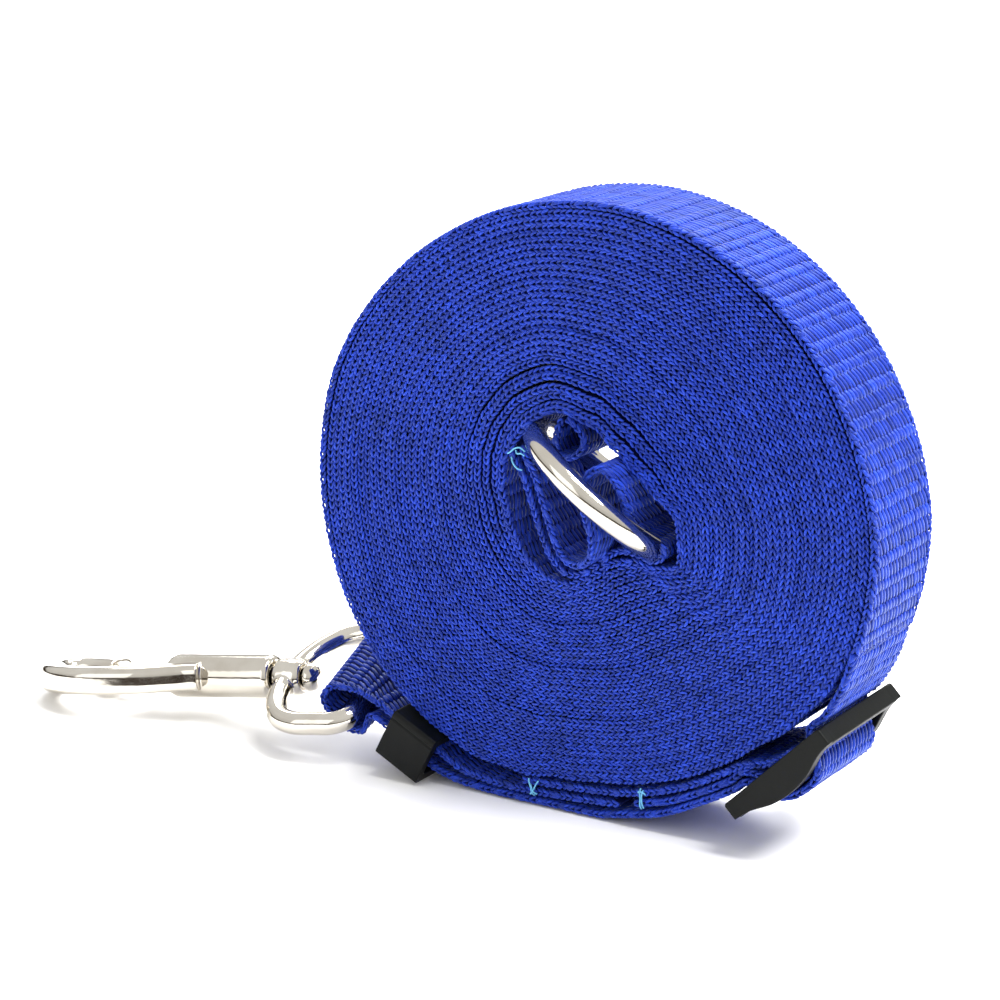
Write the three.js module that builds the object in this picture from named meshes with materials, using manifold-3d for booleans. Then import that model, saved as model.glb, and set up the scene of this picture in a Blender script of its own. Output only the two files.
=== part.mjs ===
// Training leash: one long flat webbing wound on edge into a coil, its outer end threaded through a
// tri-glide slide and a keeper and looped round the eye of a swivel bolt snap, its handle end folded up
// in the coil's hole through a welded ring. Millimetres, +Z up, +Y along the coil's axis, the snap at -X.
import * as THREE from 'three';
import { mergeVertices } from 'three/addons/utils/BufferGeometryUtils.js';
import Module from 'manifold-3d';

const wasm = await Module();
wasm.setup();

// ---- driving dimensions -------------------------------------------------------------------------
const WEB_WIDTH = 20;
const WEB_THICK = 1.15;
const COIL_CENTRE_HEIGHT = 49.5;

const RING_CENTRELINE_R = 14.0;
const RING_WIRE_R = 2.0;

const SLIDE_WIDTH = 26;           // across the webbing
const SLOT_WIDTH = 21.4;
const SLIDE_LENGTH = 22.0;
const SLIDE_END_THICK = 2.9;
const SLIDE_MID_THICK = 5.0;
const SLIDE_ANGLE = 44.7;         // degrees above the horizontal
const KEEPER_WIDTH = 25.6;        // across the webbing
const KEEPER_SIZE = 9;            // along the webbing, and its height
const KEEPER_WALL = 1.6;
const KEEPER_ANGLE = 27;          // degrees, falling towards +X

const SNAP_YAW = 5;               // degrees the nose is turned towards -Y
const SNAP_PITCH = 8.1;           // degrees the nose points down
const SNAP_ROLL = 9;
const EYE_ROLL = -14.5;
const BARREL_R = 3.4;
const BARREL_BORE_R = 2.15;
const BARREL_LENGTH = 19.5;
const BARREL_WALL = 2.4;
const HOOK_HEIGHT = 4.4;
const HOOK_WIDTH = 3.8;
const BOLT_R = 1.75;
const BOLT_FRONT = 31.4;
const BOLT_REAR = 13;
const KNOB_X = 16;
const BOLT_TRAVEL = 6;
const STEM_R = 1.4;
const EYE_COLLAR_LENGTH = 5.6;
const EYE_WIRE_R = 2.0;
const EYE_HALF_WIDTH = 13.8;
const EYE_BAR_X = -20.3;

const RUN_GAP = 0.3;              // between pieces that touch or turn on each other

const material = (color, roughness, metalness) =>
  new THREE.MeshStandardMaterial({ color, roughness, metalness });
const MATERIALS = {
  webbing: material(0x3b4bc4, 0.85, 0),
  thread: material(0x86c8ee, 0.85, 0),
  plastic: material(0x2c2e2d, 0.5, 0),
  nickel: material(0xcfcac0, 0.18, 1),
  steel: material(0x9a9a98, 0.35, 1),
};

// ---- helpers ------------------------------------------------------------------------------------
const radians = THREE.MathUtils.degToRad;

// Welds a geometry's vertices and turns its faces outward.
function closed(geometry) {
  const bare = new THREE.BufferGeometry();
  bare.setAttribute('position', geometry.getAttribute('position'));
  if (geometry.index) bare.setIndex(geometry.index);
  const welded = mergeVertices(bare, 1e-4);
  const position = welded.getAttribute('position');
  const index = welded.index.array;
  const a = new THREE.Vector3();
  const b = new THREE.Vector3();
  const c = new THREE.Vector3();
  let volume = 0;
  for (let i = 0; i < index.length; i += 3) {
    a.fromBufferAttribute(position, index[i]);
    b.fromBufferAttribute(position, index[i + 1]);
    c.fromBufferAttribute(position, index[i + 2]);
    volume += a.dot(b.cross(c));
  }
  if (volume < 0) {
    for (let i = 0; i < index.length; i += 3) [index[i], index[i + 1]] = [index[i + 1], index[i]];
  }
  return welded;
}

function solid(geometry) {
  const body = closed(geometry);
  return new wasm.Manifold(new wasm.Mesh({
    numProp: 3,
    vertProperties: new Float32Array(body.getAttribute('position').array),
    triVerts: new Uint32Array(body.index.array),
  }));
}

function geometryOf(manifold) {
  const mesh = manifold.getMesh();
  const geometry = new THREE.BufferGeometry();
  geometry.setAttribute('position', new THREE.BufferAttribute(mesh.vertProperties, 3));
  geometry.setIndex(new THREE.BufferAttribute(mesh.triVerts, 1));
  geometry.computeVertexNormals();
  return geometry;
}

function box(lowX, lowY, lowZ, highX, highY, highZ) {
  const geometry = new THREE.BoxGeometry(highX - lowX, highY - lowY, highZ - lowZ);
  return geometry.translate((lowX + highX) / 2, (lowY + highY) / 2, (lowZ + highZ) / 2);
}

// A turned shape about the X axis, from [x, radius] points that start and end on the axis.
function turned(profile, segments = 24) {
  const points = profile.map(([x, r]) => new THREE.Vector2(r, x));
  return new THREE.LatheGeometry(points, segments).rotateZ(-Math.PI / 2);
}

// A round or shaped bar along a smooth line through [x, y, z] points; z may be left out.
function barAlong(points, section, steps) {
  const stations = points.map(([x, y, z = 0]) => new THREE.Vector3(x, y, z));
  const extrudePath = new THREE.CatmullRomCurve3(stations, false, 'centripetal');
  return new THREE.ExtrudeGeometry(section, { steps, extrudePath, bevelEnabled: false, curveSegments: 4 });
}

function circleSection(radius, sides) {
  const section = new THREE.Shape();
  for (let i = 0; i < sides; i += 1) {
    const angle = (2 * Math.PI * i) / sides;
    const method = i === 0 ? 'moveTo' : 'lineTo';
    section[method](radius * Math.cos(angle), radius * Math.sin(angle));
  }
  section.closePath();
  return section;
}

function roundedRectangle(width, height, corner) {
  const x = width / 2;
  const y = height / 2;
  const shape = new THREE.Shape();
  shape.moveTo(-x + corner, -y);
  shape.lineTo(x - corner, -y);
  shape.absarc(x - corner, -y + corner, corner, -Math.PI / 2, 0, false);
  shape.lineTo(x, y - corner);
  shape.absarc(x - corner, y - corner, corner, 0, Math.PI / 2, false);
  shape.lineTo(-x + corner, y);
  shape.absarc(-x + corner, y - corner, corner, Math.PI / 2, Math.PI, false);
  shape.lineTo(-x, -y + corner);
  shape.absarc(-x + corner, -y + corner, corner, Math.PI, 1.5 * Math.PI, false);
  return shape;
}

// A flat band of webbing along a smooth line. Each point is [x, z, lean, shift]: lean from 0 to 1 turns
// the band's width from the Y axis to leanTo, and shift moves its middle along Y.
function band(points, leanTo = new THREE.Vector3(0, 1, 0), stepsPerSpan = 3) {
  const line = new THREE.CatmullRomCurve3(
    points.map(([x, z, , shift = 0]) => new THREE.Vector3(x, shift, z)), false, 'centripetal');
  const spans = points.length - 1;
  const stations = spans * stepsPerSpan;
  const corners = [];
  for (let i = 0; i <= stations; i += 1) {
    const u = i / stations;
    const span = Math.min(Math.floor(u * spans), spans - 1);
    const within = u * spans - span;
    const lean = THREE.MathUtils.lerp(points[span][2] ?? 0, points[span + 1][2] ?? 0, within);
    const middle = line.getPoint(u);
    const along = line.getTangent(u);
    const across = new THREE.Vector3(0, 1, 0).lerp(leanTo, lean).normalize();
    const face = new THREE.Vector3().crossVectors(along, across).normalize();
    for (const [side, skin] of [[-1, -1], [1, -1], [1, 1], [-1, 1]]) {
      const corner = middle.clone().addScaledVector(across, (side * WEB_WIDTH) / 2);
      corners.push(...corner.addScaledVector(face, (skin * WEB_THICK) / 2).toArray());
    }
  }
  const index = [0, 1, 2, 0, 2, 3];
  for (let i = 0; i < stations; i += 1) {
    for (let k = 0; k < 4; k += 1) {
      const a = 4 * i + k;
      const b = 4 * i + ((k + 1) % 4);
      index.push(a, a + 4, b + 4, a, b + 4, b);
    }
  }
  const end = 4 * stations;
  index.push(end, end + 2, end + 1, end, end + 3, end + 2);
  const geometry = new THREE.BufferGeometry();
  geometry.setAttribute('position', new THREE.Float32BufferAttribute(corners, 3));
  geometry.setIndex(index);
  return geometry;
}

function piece(name, geometry, material, parent) {
  const body = closed(geometry);
  body.computeVertexNormals();
  const mesh = new THREE.Mesh(body, material);
  mesh.name = name;
  parent.add(mesh);
  return mesh;
}

// ---- the wound webbing --------------------------------------------------------------------------
// Outline radii by angle: degrees from +X towards +Z, then millimetres.
const COIL_OUTSIDE = [
  [0, 50.2], [90, 50.3], [180, 50.0], [215, 49.8], [242, 48.6], [255, 46.4], [265, 44.2], [276, 43.5],
  [288, 43.6], [300, 44.0], [312, 44.4], [325, 46.6], [335, 48.2], [345, 48.5], [352, 50.0], [360, 50.2],
];
const COIL_INSIDE = [
  [0, 16.9], [54, 14.6], [108, 18.1], [144, 17.8], [180, 14.6], [216, 12.1], [252, 10.4], [300, 12.4],
  [330, 16.4], [360, 16.9],
];

function radiusAt(outline, degrees) {
  const next = outline.findIndex(([angle]) => angle >= degrees);
  if (next <= 0) return outline[0][1];
  const [a0, r0] = outline[next - 1];
  const [a1, r1] = outline[next];
  const s = (1 - Math.cos((Math.PI * (degrees - a0)) / (a1 - a0))) / 2;
  return r0 + (r1 - r0) * s;
}

function outlinePoints(outline, count) {
  return Array.from({ length: count }, (_, i) => {
    const degrees = (360 * i) / count;
    const r = radiusAt(outline, degrees);
    return new THREE.Vector2(r * Math.cos(radians(degrees)), r * Math.sin(radians(degrees)));
  });
}

function coiledStrap() {
  const shape = new THREE.Shape(outlinePoints(COIL_OUTSIDE, 96));
  shape.holes.push(new THREE.Path(outlinePoints(COIL_INSIDE, 40)));
  const coil = new THREE.ExtrudeGeometry(shape, { depth: WEB_WIDTH, bevelEnabled: false });
  return coil.rotateX(Math.PI / 2).translate(0, WEB_WIDTH / 2, 0);
}

// ---- the slide's frame of reference -------------------------------------------------------------
// Its lower end on the coil's side is the origin; "along" rises to +X, "out" points away from the coil.
const SLIDE_ORIGIN = [27.5, -41.3];
const slideCos = Math.cos(radians(SLIDE_ANGLE));
const slideSin = Math.sin(radians(SLIDE_ANGLE));
const onSlide = (along, out) => [
  SLIDE_ORIGIN[0] + slideCos * along + slideSin * out,
  SLIDE_ORIGIN[1] + slideSin * along - slideCos * out,
];

const END_BAR = 3.1;
const MIDDLE_BAR = { start: 10.2, end: 13.2, inner: 1.0, outer: 3.2 };

function slideBody() {
  const profile = new THREE.Shape();
  profile.moveTo(0.5, 0);
  profile.lineTo(SLIDE_LENGTH - 0.5, 0);
  profile.quadraticCurveTo(SLIDE_LENGTH, 0, SLIDE_LENGTH, 0.6);
  profile.lineTo(SLIDE_LENGTH, SLIDE_END_THICK);
  profile.bezierCurveTo(SLIDE_LENGTH - 5, SLIDE_END_THICK, SLIDE_LENGTH - 5, SLIDE_MID_THICK,
    SLIDE_LENGTH / 2, SLIDE_MID_THICK);
  profile.bezierCurveTo(5, SLIDE_MID_THICK, 5, SLIDE_END_THICK, 0, SLIDE_END_THICK);
  profile.lineTo(0, 0.6);
  profile.quadraticCurveTo(0, 0, 0.5, 0);
  const across = { depth: SLIDE_WIDTH, bevelEnabled: false, curveSegments: 6 };
  const plate = new THREE.ExtrudeGeometry(profile, across).translate(0, 0, -SLIDE_WIDTH / 2);
  const half = SLOT_WIDTH / 2;
  const slotEnd = SLIDE_LENGTH - END_BAR;
  let frame = solid(plate);
  const cuts = [
    box(END_BAR, -1, -half, MIDDLE_BAR.start, 9, half),
    box(MIDDLE_BAR.end, -1, -half, slotEnd, 9, half),
    box(END_BAR, -1, -half, slotEnd, MIDDLE_BAR.inner, half),
    box(END_BAR, MIDDLE_BAR.outer, -half, slotEnd, 9, half),
  ];
  for (const cut of cuts) frame = frame.subtract(solid(cut));
  return geometryOf(frame);
}

// ---- the keeper ---------------------------------------------------------------------------------
const KEEPER_CENTRE = [-31.9, -43.45];
const KEEPER_RUN_OFFSET = 1.5;    // each of the two runs, either side of the keeper's middle

function onKeeper(along, up) {
  const c = Math.cos(radians(KEEPER_ANGLE));
  const s = Math.sin(radians(KEEPER_ANGLE));
  return [KEEPER_CENTRE[0] - c * along + s * up, KEEPER_CENTRE[1] + s * along + c * up];
}

function keeperBody() {
  const sleeve = roundedRectangle(KEEPER_WIDTH, KEEPER_SIZE, 1.0);
  const inner = roundedRectangle(KEEPER_WIDTH - 2 * KEEPER_WALL, KEEPER_SIZE - 2 * KEEPER_WALL, 0.4);
  sleeve.holes.push(new THREE.Path(inner.getPoints(4)));
  const lengthwise = { depth: KEEPER_SIZE, bevelEnabled: false, curveSegments: 4 };
  const body = new THREE.ExtrudeGeometry(sleeve, lengthwise);
  return body.translate(0, 0, -KEEPER_SIZE / 2).rotateX(Math.PI / 2).rotateZ(Math.PI / 2);
}

// ---- the snap's frame of reference --------------------------------------------------------------
// The swivel's centre; local +X runs along the barrel to the nose, local +Y to the hook's back.
const SNAP_ORIGIN = new THREE.Vector3(-66.1, -0.9, -40.7);

function snapFrame(roll) {
  const group = new THREE.Group();
  group.position.copy(SNAP_ORIGIN);
  group.rotation.set(radians(roll), radians(SNAP_PITCH), radians(180 + SNAP_YAW), 'ZYX');
  group.updateMatrix();
  return group;
}

const snapGroup = snapFrame(SNAP_ROLL);
const eyeGroup = snapFrame(EYE_ROLL);
const eyeBarDirection = new THREE.Vector3(0, -1, 0).applyEuler(eyeGroup.rotation);
const eyeBarCentre = new THREE.Vector3(EYE_BAR_X, 0, 0).applyMatrix4(eyeGroup.matrix);
// Where the eye's bar crosses the middle plane of the webbing.
const barReach = -eyeBarCentre.y / eyeBarDirection.y;
const eyeBarMiddle = eyeBarCentre.clone().addScaledVector(eyeBarDirection, barReach);
const aroundEye = (dx, dz, lean = 1) => [eyeBarMiddle.x + dx, eyeBarMiddle.z + dz, lean];

// ---- webbing outside the coil -------------------------------------------------------------------
const FLOOR_RUN = -COIL_CENTRE_HEIGHT + WEB_THICK / 2;

const hookLoopLine = [
  [47.2, -14.2], [45.4, -20.0],
  onSlide(22.4, -1.0), onSlide(21.0, -0.9), onSlide(19.0, -1.0), onSlide(17.1, 1.2), onSlide(15.5, 4.7),
  onSlide(13.6, 5.75), onSlide(11.7, 5.8), onSlide(8.7, 5.3), onSlide(6.2, 3.5), onSlide(4.9, 0.5),
  onSlide(3.5, -0.85), onSlide(1.6, -0.95),
  [21.8, -43.0], [15.0, -46.3], [9.5, -47.7], [5.5, -48.5], [4.0, -48.87], [3.1, FLOOR_RUN],
  [2, FLOOR_RUN], [-3, FLOOR_RUN],
  [-9, FLOOR_RUN], [-15, FLOOR_RUN], [-19, -48.8], [-24, -48.25],
  onKeeper(-5, -KEEPER_RUN_OFFSET), onKeeper(0, -KEEPER_RUN_OFFSET), onKeeper(9.4, -KEEPER_RUN_OFFSET),
  aroundEye(2.6, -3.1, 0.8), aroundEye(0, -3.0), aroundEye(-2.4, -2.5), aroundEye(-4.6, -0.8),
  aroundEye(-6.0, 1.6), aroundEye(-4.4, 3.8), aroundEye(-1.2, 4.2), aroundEye(1.6, 3.9, 0.9),
  onKeeper(9.4, KEEPER_RUN_OFFSET), onKeeper(0, KEEPER_RUN_OFFSET), onKeeper(-5, KEEPER_RUN_OFFSET),
  [-22.8, -46.3], [-17, -47.25], [-11, -47.45], [-3.6, -47.2], [3.4, -46.75], [7.4, -46.4],
];

const slideLoopLine = [
  [-11.0, -45.9], [-3.6, -45.45], [3.8, -44.9], [9.0, -44.2], [14.5, -42.75], [21.2, -40.0],
  onSlide(1.6, -3.95), onSlide(5.0, -3.05), onSlide(8.3, -1.1), onSlide(11.7, 0.05), onSlide(13.6, 0.15),
  onSlide(14.4, 2.1), onSlide(13.65, 4.0), onSlide(11.7, 4.2), onSlide(9.2, 4.05), onSlide(7.5, 2.2),
  onSlide(6.4, -0.35), onSlide(4.4, -2.2), onSlide(1.6, -2.45),
  [21.6, -41.5], [16.0, -44.1], [9.9, -45.7],
];

const HANDLE_SHIFT = -5.4;
const handleLine = [
  [-1.6, -7.8, 0, HANDLE_SHIFT], [1.2, -6.6, 0, HANDLE_SHIFT], [2.2, -3.8, 0, HANDLE_SHIFT],
  [1.0, -0.6, 0, HANDLE_SHIFT], [0.4, 3.0, 0, HANDLE_SHIFT], [1.6, 6.9, 0, HANDLE_SHIFT],
  [3.9, 8.9, 0, HANDLE_SHIFT / 2], [6.2, 7.4, 0, HANDLE_SHIFT / 4], [7.0, 4.4], [9.2, 2.6], [12.2, 2.2],
  [14.8, 2.6],
];

// ---- the snap's own shapes ----------------------------------------------------------------------
const HOOK_LINE = [
  [14, 3.3], [17, 4.2], [20, 6.0], [24, 8.5], [30, 10.0], [36, 10.0], [41, 8.2], [44.5, 4.6], [45.3, 0.9],
  [43.4, -1.7], [39.8, -2.3], [36.4, -1.5], [33.4, -0.6],
];

function snapBody() {
  const barrel = turned([
    [RUN_GAP, 0], [RUN_GAP, BARREL_R - 0.5], [RUN_GAP + 0.5, BARREL_R], [BARREL_LENGTH - 0.6, BARREL_R],
    [BARREL_LENGTH, BARREL_R - 0.6], [BARREL_LENGTH, 0],
  ], 28);
  const hook = barAlong(HOOK_LINE, roundedRectangle(HOOK_HEIGHT, HOOK_WIDTH, 1.1), 44);
  const bore = turned([[BARREL_WALL, 0], [BARREL_WALL, BARREL_BORE_R], [22, BARREL_BORE_R], [22, 0]], 20);
  const stemHole = turned([[-1, 0], [-1, STEM_R + 0.2], [4, STEM_R + 0.2], [4, 0]], 16);
  const slotFront = KNOB_X + 1.4;
  const knobSlot = box(KNOB_X - BOLT_TRAVEL - 1.4, -5, -1.3, slotFront, -1, 1.3);
  return geometryOf(solid(barrel).add(solid(hook)).subtract(solid(bore)).subtract(solid(stemHole))
    .subtract(solid(knobSlot)));
}

function swivelRivet() {
  const headStart = -EYE_COLLAR_LENGTH - 2 * RUN_GAP;
  return turned([
    [BARREL_WALL + 1.2, 0], [BARREL_WALL + 1.2, 1.5], [BARREL_WALL + 0.9, 1.8], [BARREL_WALL + 0.2, 1.8],
    [BARREL_WALL + 0.2, STEM_R], [headStart, STEM_R], [headStart, 2.5], [headStart - 0.8, 2.4],
    [headStart - 1.8, 1.7], [headStart - 2.3, 0],
  ], 20);
}

function swivelEye() {
  const collar = turned([
    [-RUN_GAP, 0], [-RUN_GAP, 2.9], [-0.8, 3.3], [-3.2, 3.3], [-EYE_COLLAR_LENGTH, 2.8],
    [-EYE_COLLAR_LENGTH, 0],
  ], 24);
  const half = [
    [-2.6, 2.2], [-3.1, 5.4], [-4.6, 9.2], [-7.2, 12.4], [-10.6, EYE_HALF_WIDTH], [-14.2, EYE_HALF_WIDTH],
    [-17.6, 13.6], [-19.5, 12.5], [EYE_BAR_X, 10.7], [EYE_BAR_X, 4],
  ];
  const mirrored = half.map(([x, y]) => [x, -y]).reverse();
  const loop = barAlong([...half, ...mirrored], circleSection(EYE_WIRE_R, 12), 64);
  const hole = turned([[1, 0], [1, STEM_R + RUN_GAP], [-7, STEM_R + RUN_GAP], [-7, 0]], 16);
  return geometryOf(solid(loop).add(solid(collar)).subtract(solid(hole)));
}

function snapBolt() {
  const rod = turned([
    [BOLT_REAR, 0], [BOLT_REAR, BOLT_R], [BOLT_FRONT - 0.6, BOLT_R], [BOLT_FRONT, BOLT_R - 0.7],
    [BOLT_FRONT, 0],
  ], 20);
  const eyelet = new THREE.CylinderGeometry(0.8, 0.8, 5, 12).translate(KNOB_X, 0, 0);
  return geometryOf(solid(rod).subtract(solid(eyelet)));
}

function boltKnob() {
  const profile = [
    [0, 1.1], [0.5, 1.1], [0.5, -2.2], [0.95, -2.2], [0.95, -3.7], [1.9, -4.0], [2.0, -5.2], [1.5, -6.0],
    [0, -6.2],
  ];
  const knob = new THREE.LatheGeometry(profile.map(([r, y]) => new THREE.Vector2(r, y)), 16);
  return knob.translate(KNOB_X, 0, 0);
}

function boltSpring() {
  const start = BARREL_WALL + 1.2 + 0.4;
  const end = BOLT_REAR - 0.4;
  const turns = 7;
  const stepsPerTurn = 10;
  const points = Array.from({ length: turns * stepsPerTurn + 1 }, (_, i) => {
    const angle = (2 * Math.PI * i) / stepsPerTurn;
    const x = start + ((end - start) * i) / (turns * stepsPerTurn);
    return [x, 1.5 * Math.cos(angle), 1.5 * Math.sin(angle)];
  });
  return barAlong(points, circleSection(0.18, 6), turns * stepsPerTurn);
}

// ---- bar tacks, wrapped over the webbing's front edge -------------------------------------------
const TACK_WIDTH = 1.8;
const TACK_THICK = 0.5;

function barTack(x, lowZ, highZ) {
  const back = -WEB_WIDTH / 2 - RUN_GAP;
  return box(x - TACK_WIDTH / 2, back - TACK_THICK, lowZ, x + TACK_WIDTH / 2, back, highZ);
}

// ---- assembly -----------------------------------------------------------------------------------
const leash = new THREE.Group();
const coilCentre = new THREE.Group();
coilCentre.position.z = COIL_CENTRE_HEIGHT;
leash.add(coilCentre);

piece('coiled_strap', coiledStrap(), MATERIALS.webbing, coilCentre);
piece('hook_loop_strap', band(hookLoopLine, eyeBarDirection), MATERIALS.webbing, coilCentre);
piece('slide_loop_strap', band(slideLoopLine), MATERIALS.webbing, coilCentre);
piece('handle_strap', band(handleLine), MATERIALS.webbing, coilCentre);

const slide = piece('tri_glide_slide', slideBody(), MATERIALS.plastic, coilCentre);
slide.position.set(SLIDE_ORIGIN[0], 0, SLIDE_ORIGIN[1]);
// Its profile's x runs along the slide and its y outward, so the frame is turned about Y, then over.
slide.rotation.set(-Math.PI / 2, radians(-SLIDE_ANGLE), 0, 'YXZ');

const keeper = piece('keeper_loop', keeperBody(), MATERIALS.plastic, coilCentre);
keeper.position.set(KEEPER_CENTRE[0], 0, KEEPER_CENTRE[1]);
keeper.rotation.y = radians(KEEPER_ANGLE);

const torus = new THREE.TorusGeometry(RING_CENTRELINE_R, RING_WIRE_R, 12, 44);
const ring = piece('handle_ring', torus, MATERIALS.nickel, coilCentre);
const ringChord = new THREE.Vector3(0.809, 0, -0.587).normalize();
const ringDepth = new THREE.Vector3(-0.199, 0.941, -0.274).normalize();
ring.position.set(0.8, -4.7, 3.1);
const ringAxis = ringChord.clone().cross(ringDepth).normalize();
ring.quaternion.setFromUnitVectors(new THREE.Vector3(0, 0, 1), ringAxis);

coilCentre.add(snapGroup, eyeGroup);
piece('swivel_eye', swivelEye(), MATERIALS.nickel, eyeGroup);
piece('snap_body', snapBody(), MATERIALS.nickel, snapGroup);
piece('swivel_rivet', swivelRivet(), MATERIALS.nickel, snapGroup);
piece('snap_bolt', snapBolt(), MATERIALS.nickel, snapGroup);
piece('bolt_knob', boltKnob(), MATERIALS.nickel, snapGroup);
piece('bolt_spring', boltSpring(), MATERIALS.steel, snapGroup);

piece('strap_end_tack', barTack(-8.6, -47.9, -45.0), MATERIALS.thread, coilCentre);
piece('slide_loop_tack', barTack(11.4, -46.2, -42.8), MATERIALS.thread, coilCentre);
piece('handle_tack', barTack(-14.6, 7.2, 10.4), MATERIALS.thread, coilCentre);

export default leash;
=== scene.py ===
"""The looks of a training leash: webbing wound on edge into a coil, its fittings, and the studio.

The webbing is woven from separate yarns. Every yarn that shows is its own small tapered body, laid in
the strap's own coordinates: along its length, across its width and out through its thickness. Lengths
below are in millimetres with the coil's centre as origin, and turn into metres above the floor when a
mesh is made.
"""
import math

import bmesh
import bpy
import numpy as np
from mathutils import Matrix, Vector


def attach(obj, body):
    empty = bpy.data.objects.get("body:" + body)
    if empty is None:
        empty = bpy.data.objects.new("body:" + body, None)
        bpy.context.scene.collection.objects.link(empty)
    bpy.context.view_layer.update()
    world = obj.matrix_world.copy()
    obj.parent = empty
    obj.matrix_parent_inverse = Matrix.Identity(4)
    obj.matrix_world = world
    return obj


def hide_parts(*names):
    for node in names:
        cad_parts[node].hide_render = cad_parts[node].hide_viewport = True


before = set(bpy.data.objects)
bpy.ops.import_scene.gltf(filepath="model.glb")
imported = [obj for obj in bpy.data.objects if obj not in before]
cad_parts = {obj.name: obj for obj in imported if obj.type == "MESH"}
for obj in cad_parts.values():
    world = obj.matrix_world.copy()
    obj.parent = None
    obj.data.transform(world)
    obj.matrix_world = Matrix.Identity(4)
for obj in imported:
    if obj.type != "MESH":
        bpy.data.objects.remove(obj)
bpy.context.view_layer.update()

MM = 0.001
COIL_CENTRE = np.array([0.0, 0.0, 49.5])     # above the origin, in mm
rng = np.random.default_rng(641)


# ---- camera, floor and light ---------------------------------------------------------------------
def look_at(obj, place, target):
    obj.location = Vector(place)
    direction = Vector(target) - Vector(place)
    obj.rotation_euler = direction.to_track_quat("-Z", "Y").to_euler()


def add_camera():
    data = bpy.data.cameras.new("camera")
    data.sensor_width = 36.0
    data.lens = 108.0
    data.clip_start = 0.01
    camera = bpy.data.objects.new("camera", data)
    bpy.context.scene.collection.objects.link(camera)
    look_at(camera, (0.22843, -0.39967, 0.17663), (-0.02128, 0.0, 0.04698))
    bpy.context.scene.camera = camera


def add_area(name, place, target, size, power, colour=(1, 1, 1)):
    data = bpy.data.lights.new(name, "AREA")
    data.shape = "RECTANGLE"
    data.size, data.size_y = size
    data.energy = power
    data.color = colour
    light = bpy.data.objects.new(name, data)
    bpy.context.scene.collection.objects.link(light)
    look_at(light, place, target)


def add_studio():
    scene = bpy.context.scene
    scene.view_settings.view_transform = "Standard"
    world = bpy.data.worlds.new("studio")
    world.use_nodes = True
    tree = world.node_tree
    background = tree.nodes["Background"]
    # A white sky over a dark horizon, which draws the thin dark lines in the polished metal.
    split = tree.nodes.new("ShaderNodeSeparateXYZ")
    tree.links.new(tree.nodes.new("ShaderNodeTexCoord").outputs["Generated"], split.inputs[0])
    ramp = tree.nodes.new("ShaderNodeValToRGB")
    tree.links.new(split.outputs["Z"], ramp.inputs[0])
    horizon, haze, sky = (0.05, 0.035, 0.025), (0.8, 0.79, 0.77), (1, 0.995, 0.985)
    stops = [(0.0, horizon), (0.10, horizon), (0.17, haze), (0.5, sky)]
    while len(ramp.color_ramp.elements) < len(stops):
        ramp.color_ramp.elements.new(0.5)
    for element, (position, colour) in zip(ramp.color_ramp.elements, stops):
        element.position, element.color = position, (*colour, 1)
    tree.links.new(ramp.outputs[0], background.inputs["Color"])
    background.inputs["Strength"].default_value = 0.9
    scene.world = world

    mesh = bpy.data.meshes.new("floor")
    half = 6.0
    corners = [(-half, -half, 0), (half, -half, 0), (half, half, 0), (-half, half, 0)]
    mesh.from_pydata(corners, [], [(0, 1, 2, 3)])
    material = bpy.data.materials.new("floor")
    material.use_nodes = True
    shader = material.node_tree.nodes["Principled BSDF"]
    shader.inputs["Base Color"].default_value = (0.93, 0.93, 0.93, 1)
    shader.inputs["Roughness"].default_value = 0.6
    mesh.materials.append(material)
    floor = bpy.data.objects.new("floor", mesh)
    scene.collection.objects.link(floor)
    floor.location.z = -0.0003

    middle = (-0.02, 0, 0.04)
    add_area("key_softbox", (0.50, 0.15, 1.0), middle, (0.6, 0.6), 31, (1.0, 0.99, 0.96))
    add_area("back_softbox", (-0.45, 0.75, 0.75), middle, (0.8, 0.5), 9)
    add_area("front_fill", (-0.35, -1.0, 0.45), middle, (0.9, 0.7), 2.0)


# ---- materials -----------------------------------------------------------------------------------
class Nodes:
    """Short calls for building one material's node tree."""

    def __init__(self, name):
        self.material = bpy.data.materials.new(name)
        self.material.use_nodes = True
        self.tree = self.material.node_tree
        self.shader = self.tree.nodes["Principled BSDF"]

    def add(self, kind, inputs=(), **settings):
        node = self.tree.nodes.new(kind)
        for key, value in settings.items():
            setattr(node, key, value)
        for key, value in dict(inputs).items():
            if isinstance(value, bpy.types.NodeSocket):
                self.tree.links.new(value, node.inputs[key])
            else:
                node.inputs[key].default_value = value
        return node

    def math(self, operation, a, b):
        return self.add("ShaderNodeMath", {0: a, 1: b}, operation=operation).outputs[0]

    def set(self, **values):
        for key, value in values.items():
            self.shader.inputs[key.replace("_", " ")].default_value = value

    def link(self, socket, name):
        self.tree.links.new(socket, self.shader.inputs[name])

    def ramp(self, factor, stops):
        node = self.add("ShaderNodeValToRGB", {0: factor})
        elements = node.color_ramp.elements
        while len(elements) < len(stops):
            elements.new(0.5)
        for element, (position, colour) in zip(elements, stops):
            element.position = position
            element.color = (*colour, 1)
        return node.outputs[0]

    def bump(self, height, strength, distance):
        inputs = {"Strength": strength, "Distance": distance, "Height": height}
        return self.add("ShaderNodeBump", inputs).outputs[0]


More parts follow.
